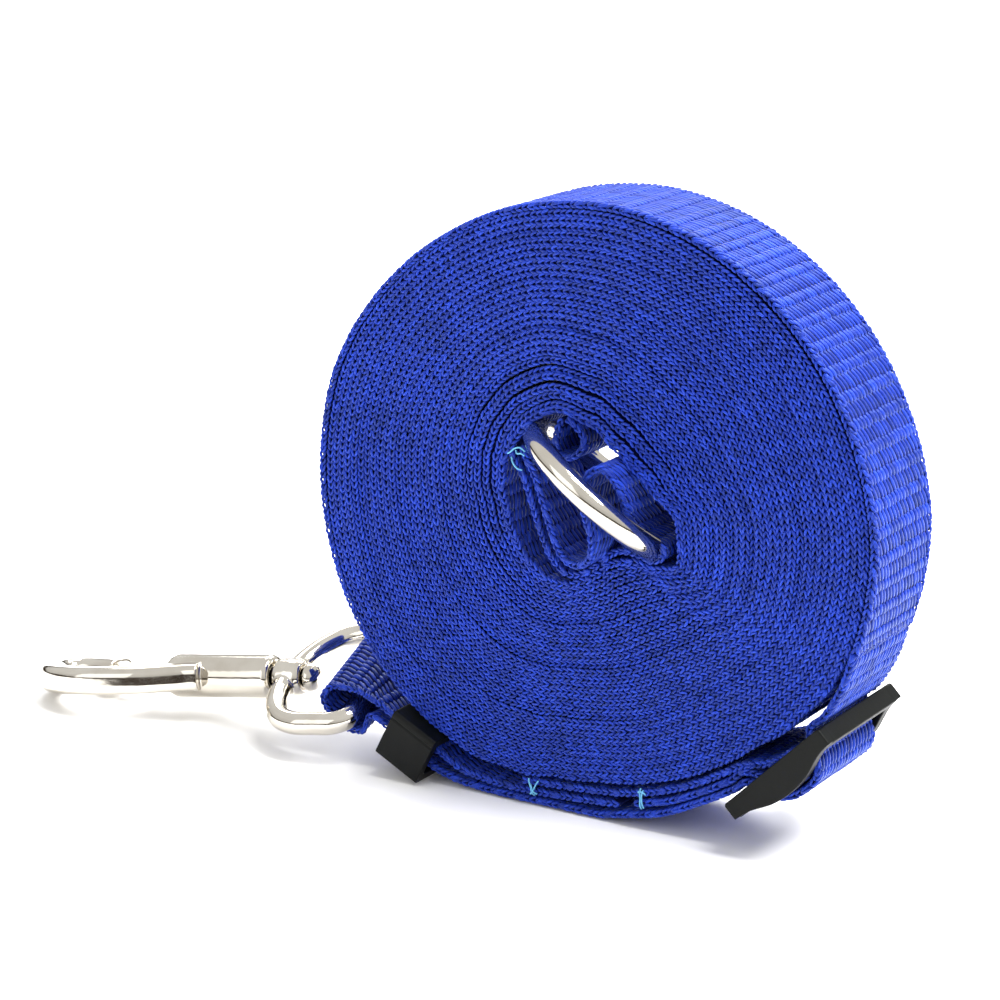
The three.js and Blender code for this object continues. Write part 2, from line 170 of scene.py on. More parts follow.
def yarn_material(name, dark, mid, light, sheen_tint):
    """Bundled filament yarn: fine fibres along each yarn, and yarns that differ a little in tone."""
    n = Nodes(name)
    fibre = n.add("ShaderNodeAttribute", attribute_name="fibre").outputs["Vector"]
    stretched = n.add("ShaderNodeMapping", {"Vector": fibre, "Scale": (0.9, 9.0, 37.0)}).outputs[0]
    strands = n.add("ShaderNodeTexNoise", {"Vector": stretched, "Scale": 1.0, "Detail": 2.0}).outputs["Fac"]
    place = n.add("ShaderNodeTexCoord").outputs["Object"]
    cloud = n.add("ShaderNodeTexNoise", {"Vector": place, "Scale": 95.0, "Detail": 3.0}).outputs["Fac"]
    own = n.add("ShaderNodeAttribute", attribute_name="tone").outputs["Fac"]
    mixed = n.math("ADD", n.math("MULTIPLY", strands, 0.45), n.math("MULTIPLY", cloud, 0.3))
    tone = n.math("ADD", mixed, n.math("MULTIPLY", own, 0.3))
    n.link(n.ramp(tone, [(0.25, dark), (0.52, mid), (0.8, light)]), "Base Color")
    n.set(Roughness=0.5, Sheen_Weight=0.2, Sheen_Roughness=0.35)
    n.shader.inputs["Sheen Tint"].default_value = (*sheen_tint, 1)
    n.shader.inputs["Specular IOR Level"].default_value = 0.5
    n.shader.inputs["Specular Tint"].default_value = (*sheen_tint, 1)
    n.link(n.bump(strands, 0.55, 0.00009), "Normal")
    return n.material


def painted_shade_core_material():
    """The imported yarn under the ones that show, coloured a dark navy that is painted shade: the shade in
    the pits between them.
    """
    n = Nodes("webbing_core_painted_shade")
    place = n.add("ShaderNodeTexCoord").outputs["Object"]
    cloud = n.add("ShaderNodeTexNoise", {"Vector": place, "Scale": 900.0, "Detail": 2.0}).outputs["Fac"]
    # Painted shade: this near-black navy stands in for the shade that falls in the pits between the yarns
    # that show.
    n.link(n.ramp(cloud, [(0.3, (0.0004, 0.003, 0.05)), (0.7, (0.0008, 0.007, 0.09))]), "Base Color")
    n.set(Roughness=0.9)
    n.shader.inputs["Specular IOR Level"].default_value = 0.2
    n.link(n.bump(cloud, 0.6, 0.0002), "Normal")
    return n.material


def plastic_material():
    """Moulded acetal: satin, with a faint mould grain, flow streaks and rubbed patches."""
    n = Nodes("moulded_plastic")
    place = n.add("ShaderNodeTexCoord").outputs["Object"]
    grain = n.add("ShaderNodeTexNoise", {"Vector": place, "Scale": 2600.0, "Detail": 2.0}).outputs["Fac"]
    streaked = n.add("ShaderNodeMapping", {"Vector": place, "Scale": (60.0, 500.0, 60.0)}).outputs[0]
    streaks = n.add("ShaderNodeTexNoise", {"Vector": streaked, "Scale": 3.0, "Detail": 3.0}).outputs["Fac"]
    rubbed = n.add("ShaderNodeTexNoise", {"Vector": place, "Scale": 140.0, "Detail": 4.0}).outputs["Fac"]
    tone = n.math("ADD", n.math("MULTIPLY", streaks, 0.5), n.math("MULTIPLY", rubbed, 0.5))
    n.link(n.ramp(tone, [(0.35, (0.0016, 0.0022, 0.0021)), (0.65, (0.0036, 0.0044, 0.0042))]), "Base Color")
    rough = n.math("ADD", n.math("MULTIPLY", rubbed, 0.2), 0.34)
    n.link(rough, "Roughness")
    n.shader.inputs["Specular IOR Level"].default_value = 0.13
    n.link(n.bump(grain, 0.25, 0.00004), "Normal")
    return n.material


def nickel_material():
    """Polished nickel plate over a casting: slight waviness, fine polishing marks and dulled patches."""
    n = Nodes("nickel_plate")
    place = n.add("ShaderNodeTexCoord").outputs["Object"]
    wave = n.add("ShaderNodeTexNoise", {"Vector": place, "Scale": 160.0, "Detail": 2.0}).outputs["Fac"]
    marks = n.add("ShaderNodeMapping", {"Vector": place, "Scale": (300.0, 2600.0, 2600.0)}).outputs[0]
    polish = n.add("ShaderNodeTexNoise", {"Vector": marks, "Scale": 1.0, "Detail": 3.0}).outputs["Fac"]
    n.link(n.ramp(wave, [(0.3, (0.60, 0.56, 0.49)), (0.7, (0.70, 0.665, 0.60))]), "Base Color")
    n.set(Metallic=1.0)
    rough = n.math("ADD", n.math("MULTIPLY", polish, 0.07), n.math("MULTIPLY", wave, 0.08))
    n.link(n.math("ADD", rough, 0.02), "Roughness")
    height = n.math("ADD", n.math("MULTIPLY", wave, 1.0), n.math("MULTIPLY", polish, 0.05))
    n.link(n.bump(height, 0.35, 0.0002), "Normal")
    return n.material


def steel_material():
    n = Nodes("spring_steel")
    place = n.add("ShaderNodeTexCoord").outputs["Object"]
    drawn = n.add("ShaderNodeTexNoise", {"Vector": place, "Scale": 1500.0, "Detail": 3.0}).outputs["Fac"]
    n.link(n.ramp(drawn, [(0.3, (0.30, 0.30, 0.29)), (0.7, (0.55, 0.54, 0.52))]), "Base Color")
    n.set(Metallic=1.0, Roughness=0.32)
    return n.material


# ---- lines and straps ----------------------------------------------------------------------------
def catmull_rom(points, spacing):
    """A centripetal Catmull-Rom line through the points, at even spacing; extra columns are carried along."""
    p = np.array(points, float)
    ends = [2 * p[0] - p[1], 2 * p[-1] - p[-2]]
    q = np.vstack([ends[0], p, ends[1]])
    knots = np.sqrt(np.linalg.norm(np.diff(q[:, :3], axis=0), axis=1))
    t = np.concatenate([[0], np.cumsum(np.maximum(knots, 1e-6))])
    fine = []
    for i in range(1, len(q) - 2):
        s = np.linspace(t[i], t[i + 1], 24, endpoint=False)[:, None]
        a1 = (t[i] - s) / (t[i] - t[i - 1]) * q[i - 1] + (s - t[i - 1]) / (t[i] - t[i - 1]) * q[i]
        a2 = (t[i + 1] - s) / (t[i + 1] - t[i]) * q[i] + (s - t[i]) / (t[i + 1] - t[i]) * q[i + 1]
        a3 = ((t[i + 2] - s) / (t[i + 2] - t[i + 1]) * q[i + 1]
              + (s - t[i + 1]) / (t[i + 2] - t[i + 1]) * q[i + 2])
        b1 = (t[i + 1] - s) / (t[i + 1] - t[i - 1]) * a1 + (s - t[i - 1]) / (t[i + 1] - t[i - 1]) * a2
        b2 = (t[i + 2] - s) / (t[i + 2] - t[i]) * a2 + (s - t[i]) / (t[i + 2] - t[i]) * a3
        fine.append((t[i + 1] - s) / (t[i + 1] - t[i]) * b1 + (s - t[i]) / (t[i + 1] - t[i]) * b2)
    fine.append(q[-2][None])
    return evenly(np.vstack(fine), spacing)


def evenly(line, spacing):
    length = np.concatenate([[0], np.cumsum(np.linalg.norm(np.diff(line[:, :3], axis=0), axis=1))])
    count = max(int(round(length[-1] / spacing)), 2)
    s = np.linspace(0, length[-1], count + 1)
    return np.stack([np.interp(s, length, line[:, k]) for k in range(line.shape[1])], axis=1)


def unit(v):
    return v / np.maximum(np.linalg.norm(v, axis=-1, keepdims=True), 1e-12)


class Strap:
    """A length of webbing: a middle line with its width direction and its face direction at every step."""

    def __init__(self, line, across):
        self.line = line
        along = unit(np.gradient(line, axis=0))
        self.across = unit(across)
        self.face = unit(np.cross(along, self.across))
        steps = np.linalg.norm(np.diff(line, axis=0), axis=1)
        self.s = np.concatenate([[0], np.cumsum(steps)])
        self.length = self.s[-1]

    def place(self, s, across, out):
        """Points at a distance along, across from the middle and out from the middle of the thickness."""
        s = np.asarray(s, float)
        columns = np.hstack([self.line, self.across, self.face])
        at = np.stack([np.interp(s.ravel(), self.s, columns[:, k]) for k in range(9)], axis=1)
        across = np.broadcast_to(across, s.shape).ravel()[:, None]
        out = np.broadcast_to(out, s.shape).ravel()[:, None]
        points = at[:, :3] + across * at[:, 3:6] + out * at[:, 6:9]
        return points.reshape(*s.shape, 3)


# ---- mesh making ---------------------------------------------------------------------------------
def mesh_object(name, points, quads, material, triangles=None, attributes=None, smooth=True):
    """A mesh object from points in mm round the coil's centre, and quads and triangles of point numbers."""
    points = (np.asarray(points, float).reshape(-1, 3) + COIL_CENTRE) * MM
    quads = np.asarray(quads, np.int32).reshape(-1, 4)
    triangles = np.asarray([] if triangles is None else triangles, np.int32).reshape(-1, 3)
    mesh = bpy.data.meshes.new(name)
    mesh.vertices.add(len(points))
    mesh.vertices.foreach_set("co", points.astype(np.float32).ravel())
    loops = np.concatenate([quads.ravel(), triangles.ravel()])
    sizes = np.concatenate([np.full(len(quads), 4), np.full(len(triangles), 3)])
    mesh.loops.add(len(loops))
    mesh.loops.foreach_set("vertex_index", loops.astype(np.int32))
    mesh.polygons.add(len(sizes))
    mesh.polygons.foreach_set("loop_start", np.concatenate([[0], np.cumsum(sizes)[:-1]]).astype(np.int32))
    for key, values in (attributes or {}).items():
        kind = "FLOAT_VECTOR" if values.ndim == 2 else "FLOAT"
        attribute = mesh.attributes.new(key, kind, "POINT")
        field = "vector" if values.ndim == 2 else "value"
        attribute.data.foreach_set(field, values.astype(np.float32).ravel())
    mesh.update(calc_edges=True)
    mesh.validate()
    mesh.shade_smooth() if smooth else mesh.shade_flat()
    mesh.materials.append(material)
    obj = bpy.data.objects.new(name, mesh)
    bpy.context.scene.collection.objects.link(obj)
    return obj


def keep(obj, body, slot, *replaced):
    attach(obj, body)
    if replaced:
        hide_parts(*replaced)
    return obj


def band_mesh(name, strap, start, end, spacing, half_width, half_thick, material):
    """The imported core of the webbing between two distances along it: one closed rounded band."""
    corner = min(half_thick * 0.95, 0.38)
    section = []
    for turn, (cx, cy) in enumerate([(1, 1), (-1, 1), (-1, -1), (1, -1)]):
        for step in range(3):
            angle = math.pi / 2 * (turn + step / 2)
            section.append((cx * (half_width - corner) + corner * math.cos(angle),
                            cy * (half_thick - corner) + corner * math.sin(angle)))
    section = np.array(section)
    k = len(section)
    s = np.linspace(start, end, max(int((end - start) / spacing), 2))
    grid = strap.place(np.repeat(s[:, None], k, 1), section[None, :, 0] + 0 * s[:, None],
                       section[None, :, 1] + 0 * s[:, None])
    rows = np.arange(len(s) - 1)[:, None] * k
    near, far = np.arange(k)[None], (np.arange(k) + 1)[None] % k
    quads = np.stack([rows + near, rows + far, rows + far + k, rows + near + k], axis=-1).reshape(-1, 4)
    points = grid.reshape(-1, 3)
    middles = grid[[0, -1]].mean(axis=1)
    points = np.vstack([points, middles])
    first, last = len(points) - 2, len(points) - 1
    ring = np.arange(k)
    step = np.roll(ring, -1)
    caps = np.vstack([np.stack([np.full(k, first), step, ring], 1),
                      np.stack([np.full(k, last), ring + (len(s) - 1) * k, step + (len(s) - 1) * k], 1)])
    return mesh_object(name, points, quads, material, caps)


YARN_SIDES = 6


def yarns_mesh(name, strap, centre, half_wide, half_high, side_dir, up_dir, material):
    """Many short tapered yarns in one mesh.

    centre is (count, stations, 3) in strap coordinates: along, across, out. side_dir and up_dir are the
    yarn's own width and height directions there, also (count, stations, 3) or able to spread to it.
    half_wide and half_high are (count, stations).
    """
    count, stations = centre.shape[:2]
    angles = np.arange(YARN_SIDES) * 2 * math.pi / YARN_SIDES
    side_dir = np.broadcast_to(side_dir, centre.shape)
    up_dir = np.broadcast_to(up_dir, centre.shape)
    ring = (centre[:, :, None]
            + side_dir[:, :, None] * (half_wide[:, :, None] * np.cos(angles))[..., None]
            + up_dir[:, :, None] * (half_high[:, :, None] * np.sin(angles))[..., None])
    body = ring.reshape(count, stations * YARN_SIDES, 3)
    local = np.concatenate([body, centre[:, :1], centre[:, -1:]], axis=1)
    points = strap.place(local[..., 0], local[..., 1], local[..., 2])
    per = stations * YARN_SIDES + 2
    base = (np.arange(count) * per)[:, None, None, None]
    row = (np.arange(stations - 1) * YARN_SIDES)[None, :, None]
    near = np.arange(YARN_SIDES)[None, None]
    far = (near + 1) % YARN_SIDES
    quad = np.stack([row + near, row + far, row + far + YARN_SIDES, row + near + YARN_SIDES], axis=-1)
    quads = (quad[None] + base[..., None].reshape(count, 1, 1, 1)).reshape(-1, 4)
    ring_index = np.arange(YARN_SIDES)
    step = np.roll(ring_index, -1)
    last = (stations - 1) * YARN_SIDES
    caps = np.vstack([np.stack([np.full(YARN_SIDES, per - 2), step, ring_index], 1),
                      np.stack([np.full(YARN_SIDES, per - 1), last + ring_index, last + step], 1)])
    caps = (caps[None] + (np.arange(count) * per)[:, None, None]).reshape(-1, 3)
    lengths = np.concatenate([np.zeros((count, 1)),
                              np.cumsum(np.linalg.norm(np.diff(centre, axis=1), axis=2), axis=1)], axis=1)
    own = rng.random(count)
    fibre = np.zeros((count, per, 3))
    fibre[:, :-2, 0] = np.repeat(lengths, YARN_SIDES, axis=1)
    around = np.abs(((angles / (2 * math.pi) * 2) % 2) - 1)
    fibre[:, :-2, 1] = np.tile(around, stations)[None] + 0.25 * fibre[:, :-2, 0]
    fibre[:, -1, 0] = lengths[:, -1]
    fibre[:, :, 2] = own[:, None]
    tone = np.repeat(own, per)
    attributes = {"fibre": fibre.reshape(-1, 3), "tone": tone}
    return mesh_object(name, points, quads, material, caps, attributes)


# ---- the weave -----------------------------------------------------------------------------------
WEB_HALF_WIDTH = 10.0
CORE_HALF_WIDTH = 9.5
CORE_HALF_THICK = 0.26
STITCH_PITCH = 1.08             # along the webbing's edge
BAND_PITCH = 4.2                # along its face: one row of long floats and one of short ones
COLUMN_PITCH = 1.09             # across its face


def edge_stitches(name, strap, start, end, side, material, open_out, open_in, squeeze=1.0):
    """The chevrons along one edge: two plump yarns to a stitch that meet at its tip.

    side is -1 for the front edge and +1 for the back. open_out and open_in say, from a distance along,
    whether the yarns that come over the outer or the inner border lie open and reach on to the face.
    """
    tips = np.arange(start + STITCH_PITCH / 2, end, STITCH_PITCH)
    tips = tips + rng.normal(0, 0.04, len(tips))
    weak = (np.arange(len(tips)) % 2) * 0.6 + (np.arange(len(tips)) % 4 == 3) * 0.3
    arms = []
    for arm in (1, -1):
        opened = (open_out if arm > 0 else open_in)(tips).astype(float)
        scale = 1 - 0.07 * weak + rng.normal(0, 0.05, len(tips))
        jitter = rng.normal(0, 0.03, (len(tips), 2))
        s = np.stack([tips - 0.74, tips - 0.50 - 0.08 * opened, tips - 0.14, tips + 0.22 * scale,
                      tips + 0.46 * scale, tips + 0.62], 1)
        depth = np.stack([0.26 + 0.74 * opened, 0.05 + 0.28 * opened, 0 * tips, 0.03 + 0 * tips,
                          0.14 + 0 * tips, 0.34 + 0 * tips], 1)
        depth = depth + (0.10 * weak + jitter[:, 0])[:, None]
        out = arm * squeeze * np.stack([0.46 - 0.18 * opened, 0.42 + 0.03 * opened, 0.36 + 0 * tips,
                                        0.22 + 0 * tips, 0.06 + 0 * tips, 0.0 * tips], 1)
        centre = np.stack([s, side * (WEB_HALF_WIDTH - 0.22 - depth), out], axis=-1)
        wide = np.stack([0.14 + 0 * tips, 0.215 * scale, 0.24 * scale, 0.245 * scale, 0.20 * scale,
                         0.07 + 0 * tips], 1)
        high = wide * 1.05
        arms.append((centre, wide, high))
    centre = np.concatenate([a[0] for a in arms])
    wide = np.concatenate([a[1] for a in arms])
    high = np.concatenate([a[2] for a in arms])
    along = unit(np.gradient(centre, axis=1))
    up = np.zeros_like(centre)
    up[..., 1] = side
    width = unit(np.cross(along, up))
    up = unit(np.cross(width, along))
    return yarns_mesh(name, strap, centre, wide, high, width, up, material)


def face_floats(name, strap, start, end, side, material, skew=1.0):
    """The floats on one face: a row of long slanted ones, then a row of short ones half a column over."""
    rows = []
    columns = np.arange(-8.5, 8.6) * COLUMN_PITCH
    first, last = math.ceil(start / BAND_PITCH), math.floor(end / BAND_PITCH)
    for band in range(first, last):
        drift = rng.normal(0, 0.10)
        for offset, shift, reach, lean, wide, high, lift in (
                (0.0, 0.0, 1.72, 0.56, 0.36, 0.33, -0.05), (2.08, 0.5, 1.08, 0.30, 0.46, 0.31, 0.07)):
            across = columns + shift * COLUMN_PITCH
            across = across[np.abs(across) < 9.3]
            n = len(across)
            middle = band * BAND_PITCH + offset + drift + rng.normal(0, 0.07, n)
            rows.append((middle, across + rng.normal(0, 0.05, n), np.full(n, reach), np.full(n, lean),
                         wide * (1 + rng.normal(0, 0.05, n)), high * (1 + rng.normal(0, 0.05, n)),
                         np.full(n, lift) + rng.normal(0, 0.02, n)))
    middle, across, reach, lean, wide, high, lift = (np.concatenate(c) for c in zip(*rows))
    stations = np.array([-1.0, -0.78, -0.35, 0.1, 0.55, 0.82, 1.0])
    s = middle[:, None] - stations * reach[:, None]
    a = across[:, None] + skew * np.sin(stations * math.pi / 2) * lean[:, None]
    bow = np.array([-0.34, -0.07, 0.02, 0.02, -0.05, -0.17, -0.42])
    top = 0.575 - high
    out = side * (top[:, None] + lift[:, None] + bow)
    centre = np.stack([s, a, out], axis=-1)
    taper = np.array([0.35, 0.82, 1.0, 1.0, 0.92, 0.7, 0.3])
    along = unit(np.gradient(centre, axis=1))
    up = np.zeros_like(centre)
    up[..., 2] = side
    width = unit(np.cross(along, up))
    up = unit(np.cross(width, along))
    return yarns_mesh(name, strap, centre, wide[:, None] * taper, high[:, None] * taper, width, up, material)


# ---- the coil ------------------------------------------------------------------------------------
COIL_START = -16.7              # degrees from +X towards +Z, where the webbing leaves the coil
COIL_END = 145.0                # where its innermost turn meets the handle
FULL_TURNS = 28
COIL_TURNS = FULL_TURNS + (COIL_END - COIL_START) / 360
FIRST_STEP = 1.45               # how far the first turn closes in
PACKED = 1.08                   # thickness of the webbing where its turns lie close
OUTLINE = [                     # outside of the outermost turn: degrees, radius
    (-16.7, 50.0), (-8, 50.2), (2, 50.5), (14, 50.2), (26, 50.0), (60, 50.0), (84, 50.0), (100, 49.75),
    (120, 49.5), (132, 49.7), (143, 50.0), (151, 50.4), (160, 50.7), (172, 50.5), (200, 50.3), (215, 50.0),
    (230, 49.4), (242, 48.5), (255, 46.4), (265, 44.3), (276, 43.5), (288, 43.6), (300, 44.0), (312, 44.6),
    (325, 46.6), (335, 48.1), (343.3, 48.55),
]
OVAL = [                        # the easy oval that the inner turns settle into: middle of the webbing
    (-16.7, 17.5), (4, 16.7), (28, 13.4), (48, 12.6), (65, 13.2), (84, 15.2), (108, 17.5), (124, 17.4),
    (139, 16.6), (153, 15.6), (165, 14.5), (185, 12.9), (209, 12.3), (232, 11.9), (260, 11.9), (300, 12.8),
    (325, 15.4), (343.3, 17.5),
]
HANDLE_PUSH = [                 # how far the folded handle pushes the innermost turns in from below
    (-16.7, 0.0), (240, 0.0), (257, 1.0), (272, 2.6), (288, 4.1), (302, 5.2), (318, 6.4), (327, 5.6),
    (334, 2.2), (340, 0.3), (343.3, 0.0),
]
# Loose places: after which turn, where round the coil, over how many degrees either way, how far in mm.
LOOSE = [
    (1, 165, 60, 0.14), (10, 8, 34, 0.22), (10, 262, 32, 0.25), (14, 120, 60, 0.08), (18, 60, 70, 0.08),
    (22, 90, 100, 0.30), (23, 120, 90, 0.60), (24, 200, 80, 0.50), (25, 100, 120, 0.80), (26, 150, 100, 0.60),
    (27, 90, 120, 0.70),
]


def ease_between(table, degrees):
    a, r = np.array(table, float).T
    i = np.clip(np.searchsorted(a, degrees, side="right") - 1, 0, len(a) - 2)
    t = np.clip((degrees - a[i]) / (a[i + 1] - a[i]), 0, 1)
    return r[i] + (r[i + 1] - r[i]) * (t * t * (3 - 2 * t))


def coil_line(spacing):
    """The webbing's middle line in the coil, from where it leaves to its innermost turn."""
    u = np.linspace(0, COIL_TURNS, int(COIL_TURNS * 720) + 1)
    around = COIL_START + 360 * (u % 1.0)
    # The outline belongs to the first turn, which has closed in by one step when it comes round.
    outside = ease_between(OUTLINE, around) + FIRST_STEP * (around - COIL_START) / 360 - PACKED / 2
    inside = ease_between(OVAL, around)
    depth = outside - inside
    first = FIRST_STEP / (OUTLINE[0][1] - PACKED / 2 - OVAL[0][1])
    share = np.where(u < 1, u * first, first + (u - 1) * (1 - first) / (COIL_TURNS - 1))
    radius = outside - depth * share - ease_between(HANDLE_PUSH, around) * share ** 2
    shift, at_end = 0.0, 0.0
    for turn, middle, reach, gap in LOOSE:
        apart = np.abs((around - middle + 180) % 360 - 180)
        nearness = np.cos(np.clip(apart / reach, 0, 1) * math.pi / 2) ** 2
        after = np.clip((u - turn + 0.5) / 0.5, 0, 1) * np.clip((turn + 9 - u) / 8, 0, 1)
        shift = shift + gap * nearness * after
        at_end = at_end + gap * nearness * np.clip((turn + 9 - COIL_TURNS) / 8, 0, 1)
    # The turns between close up, so that the innermost one keeps its place.
    radius = radius - shift + share * at_end
    turns = np.arange(FULL_TURNS + 3)
    wander = rng.normal(0, 0.16, (len(turns), 3))
    phase = np.radians(around)
    sway = np.interp(u, turns, wander[:, 0])
    sway = sway + 0.12 * np.sin(phase * 2 + u) * np.interp(u, turns, 1 + wander[:, 1])
    angle = np.radians(COIL_START) + 2 * math.pi * u
    line = np.stack([radius * np.cos(angle), sway, radius * np.sin(angle)], axis=1)
    return evenly(line, spacing)


# ---- routes outside the coil, in the coil's plane ------------------------------------------------
SLIDE_ORIGIN = (27.5, -41.3)
SLIDE_ANGLE = math.radians(44.7)
KEEPER_CENTRE = (-31.9, -43.45)
KEEPER_ANGLE = math.radians(27)
KEEPER_RUN_OFFSET = 1.5
SNAP_ORIGIN = np.array([-66.1, -0.9, -40.7])
SNAP_YAW, SNAP_PITCH, SNAP_ROLL, EYE_ROLL = 5.0, 8.1, 9.0, -17.0
EYE_BAR_X = -20.3
FLOOR_RUN = -49.5 + 0.575


def on_slide(along, out):
    c, s = math.cos(SLIDE_ANGLE), math.sin(SLIDE_ANGLE)
    return (SLIDE_ORIGIN[0] + c * along + s * out, SLIDE_ORIGIN[1] + s * along - c * out)


def on_keeper(along, up):
    c, s = math.cos(KEEPER_ANGLE), math.sin(KEEPER_ANGLE)
    return (KEEPER_CENTRE[0] - c * along + s * up, KEEPER_CENTRE[1] + s * along + c * up)


def snap_matrix(roll):
    """The snap's own frame: +X along the barrel to the nose, +Y to the hook's back."""
    turn = (Matrix.Rotation(math.radians(180 + SNAP_YAW), 4, "Z")
            @ Matrix.Rotation(math.radians(SNAP_PITCH), 4, "Y")
            @ Matrix.Rotation(math.radians(roll), 4, "X"))
    return np.array(Matrix.Translation(Vector(SNAP_ORIGIN)) @ turn)


SNAP_FRAME = snap_matrix(SNAP_ROLL)
EYE_FRAME = snap_matrix(EYE_ROLL)


def in_frame(matrix, points):
    points = np.asarray(points, float).reshape(-1, 3)
    return points @ matrix[:3, :3].T + matrix[:3, 3]


BAR_DIRECTION = -EYE_FRAME[:3, 1]
BAR_CENTRE = in_frame(EYE_FRAME, (EYE_BAR_X, 0, 0))[0]
BAR_MIDDLE = BAR_CENTRE - BAR_DIRECTION * BAR_CENTRE[1] / BAR_DIRECTION[1]


def around_eye(dx, dz, lean=1.0):
    return (BAR_MIDDLE[0] + dx, BAR_MIDDLE[2] + dz, lean)


HOOK_LOOP_ROUTE = [
    (47.2, -14.2), (45.4, -20.0),
    on_slide(22.4, -1.0), on_slide(21.0, -0.9), on_slide(19.0, -1.0), on_slide(17.1, 1.2),
    on_slide(15.5, 4.7), on_slide(13.6, 5.75), on_slide(11.7, 5.8), on_slide(8.7, 5.3),
    on_slide(6.2, 3.5), on_slide(4.9, 0.5), on_slide(3.5, -0.85), on_slide(1.6, -0.95),
    (21.8, -43.0), (15.0, -46.3), (9.5, -47.7), (5.5, -48.5), (4.0, -48.87), (3.1, FLOOR_RUN),
    (2, FLOOR_RUN), (-3, FLOOR_RUN),
    (-9, FLOOR_RUN), (-15, FLOOR_RUN), (-19, -48.8), (-24, -48.25),
    on_keeper(-5, -KEEPER_RUN_OFFSET), on_keeper(0, -KEEPER_RUN_OFFSET), on_keeper(9.4, -KEEPER_RUN_OFFSET),
    around_eye(2.6, -3.1, 0.8), around_eye(0, -3.0), around_eye(-2.4, -2.5), around_eye(-4.6, -0.8),
    around_eye(-6.0, 1.6), around_eye(-4.4, 3.8), around_eye(-1.2, 4.2), around_eye(1.6, 3.9, 0.9),
    on_keeper(9.4, KEEPER_RUN_OFFSET), on_keeper(0, KEEPER_RUN_OFFSET), on_keeper(-5, KEEPER_RUN_OFFSET),
    (-22.8, -46.3), (-17, -47.25), (-11, -47.45), (-3.6, -47.2), (3.4, -46.75), (7.4, -46.4),
]
SLIDE_LOOP_ROUTE = [
    (-11.0, -45.9), (-3.6, -45.45), (3.8, -44.9), (9.0, -44.2), (14.5, -42.75), (21.2, -40.0),
    on_slide(1.6, -3.95), on_slide(5.0, -3.05), on_slide(8.3, -1.1), on_slide(11.7, 0.05),
    on_slide(13.6, 0.15), on_slide(14.4, 2.1), on_slide(13.65, 4.0), on_slide(11.7, 4.2),
    on_slide(9.2, 4.05), on_slide(7.5, 2.2), on_slide(6.4, -0.35), on_slide(4.4, -2.2), on_slide(1.6, -2.45),
    (21.6, -41.5), (16.0, -44.1), (9.9, -45.7),
]
# The handle end in the coil's hole: x, z, and how far it is pushed to the front.
HANDLE_ROUTE = [
    (-13.4, 9.6, 0), (-12.6, 7.6, 0), (-11.2, 5.6, 0), (-9.9, 2.6, 0), (-8.0, -2.7, 0), (-6.2, -6.6, 0),
    (-3.0, -9.6, 0), (0.6, -9.0, 0), (3.6, -6.6, 0), (6.0, -4.7, 0), (9.4, -4.4, 0), (12.4, -5.2, 0),
    (14.2, -4.4, 0), (14.4, -2.8, 0), (12.6, -1.9, 0), (10.4, -0.3, -1.2), (9.4, 3.2, -3.0), (8.6, 7.2, -4.5),
    (6.6, 9.8, -5.4), (4.2, 8.9, -5.4), (2.9, 4.9, -5.4), (3.6, 1.6, -5.4), (4.6, -1.2, -5.4),
    (4.2, -4.4, -4.9), (2.0, -6.6, -3.2), (-1.0, -7.3, -2.0), (-3.7, -6.0, -1.0), (-5.9, -2.0, -0.4),
    (-7.9, 2.9, 0), (-9.1, 5.9, 0), (-10.6, 8.4, 0), (-11.2, 10.4, 0),
]
# The short fold of webbing that stands at the top of the hole.
FOLD_ROUTE = [
    (-3.1, 15.6), (-2.2, 15.0), (-1.2, 14.3), (-0.3, 13.3), (0.1, 12.1), (-0.4, 10.7), (-1.7, 9.6),
    (-3.3, 9.1), (-4.5, 9.6), (-5.0, 10.9), (-4.9, 12.6), (-4.5, 14.1), (-3.9, 15.4),
]


def route_strap(route, spacing, lean_to=(0.0, 1.0, 0.0)):
    """A strap along a route of (x, z, lean) or (x, z) points; lean turns its width from +Y to lean_to."""
    points = [(x, 0.0, z, *(rest or (0.0,))) for x, z, *rest in route]
    line = catmull_rom(points, spacing)
    lean = line[:, 3:4]
    across = unit(np.array([[0.0, 1.0, 0.0]]) * (1 - lean) + np.array([lean_to]) * lean)
    return Strap(line[:, :3], across)


def pushed_strap(route, spacing):
    """A strap whose middle is pushed along Y by the third value of each point."""
    line = catmull_rom([(x, shift, z) for x, z, shift in route], spacing)
    across = np.broadcast_to([[0.0, 1.0, 0.0]], line.shape)
    strap = Strap(line, across)
    along = np.gradient(line, axis=0)
    along[:, 1] = 0
    strap.face = unit(np.cross(along, strap.across))
    return strap


def always(s):
    return np.ones(len(s), bool)


def weave(prefix, strap, slot_nodes, materials, start=None, end=None, open_out=always, open_in=always,
          faces=(1, -1), pieces=1, core_spacing=0.9, float_spans=None, squeeze=1.0):
    """Core, edge stitches and face floats of one strap. Returns the core; the yarns go with it."""
    start = 0.0 if start is None else start
    end = strap.length if end is None else end
    core = band_mesh(prefix, strap, start, end, core_spacing, CORE_HALF_WIDTH, CORE_HALF_THICK,
                     materials["core"])
    keep(core, "leash", "webbing", *slot_nodes)
    parts = []
    cuts = np.linspace(start, end, pieces + 1)
    for side, side_name in ((-1, "front"), (1, "back")):
        for i in range(pieces):
            name = f"{prefix}_{side_name}_stitches" + (f"_{i + 1}" if pieces > 1 else "")
            parts.append(edge_stitches(name, strap, cuts[i], cuts[i + 1], side, materials["yarn"], open_out,
                                       open_in, squeeze))
    spans = float_spans or {1: (start, end), -1: (start, end)}
    for side in faces:
        name = f"{prefix}_{'outer' if side > 0 else 'inner'}_floats"
        parts.append(face_floats(name, strap, *spans[side], side, materials["yarn"]))
    for part in parts:
        keep(part, "leash", "webbing")
    return core, parts


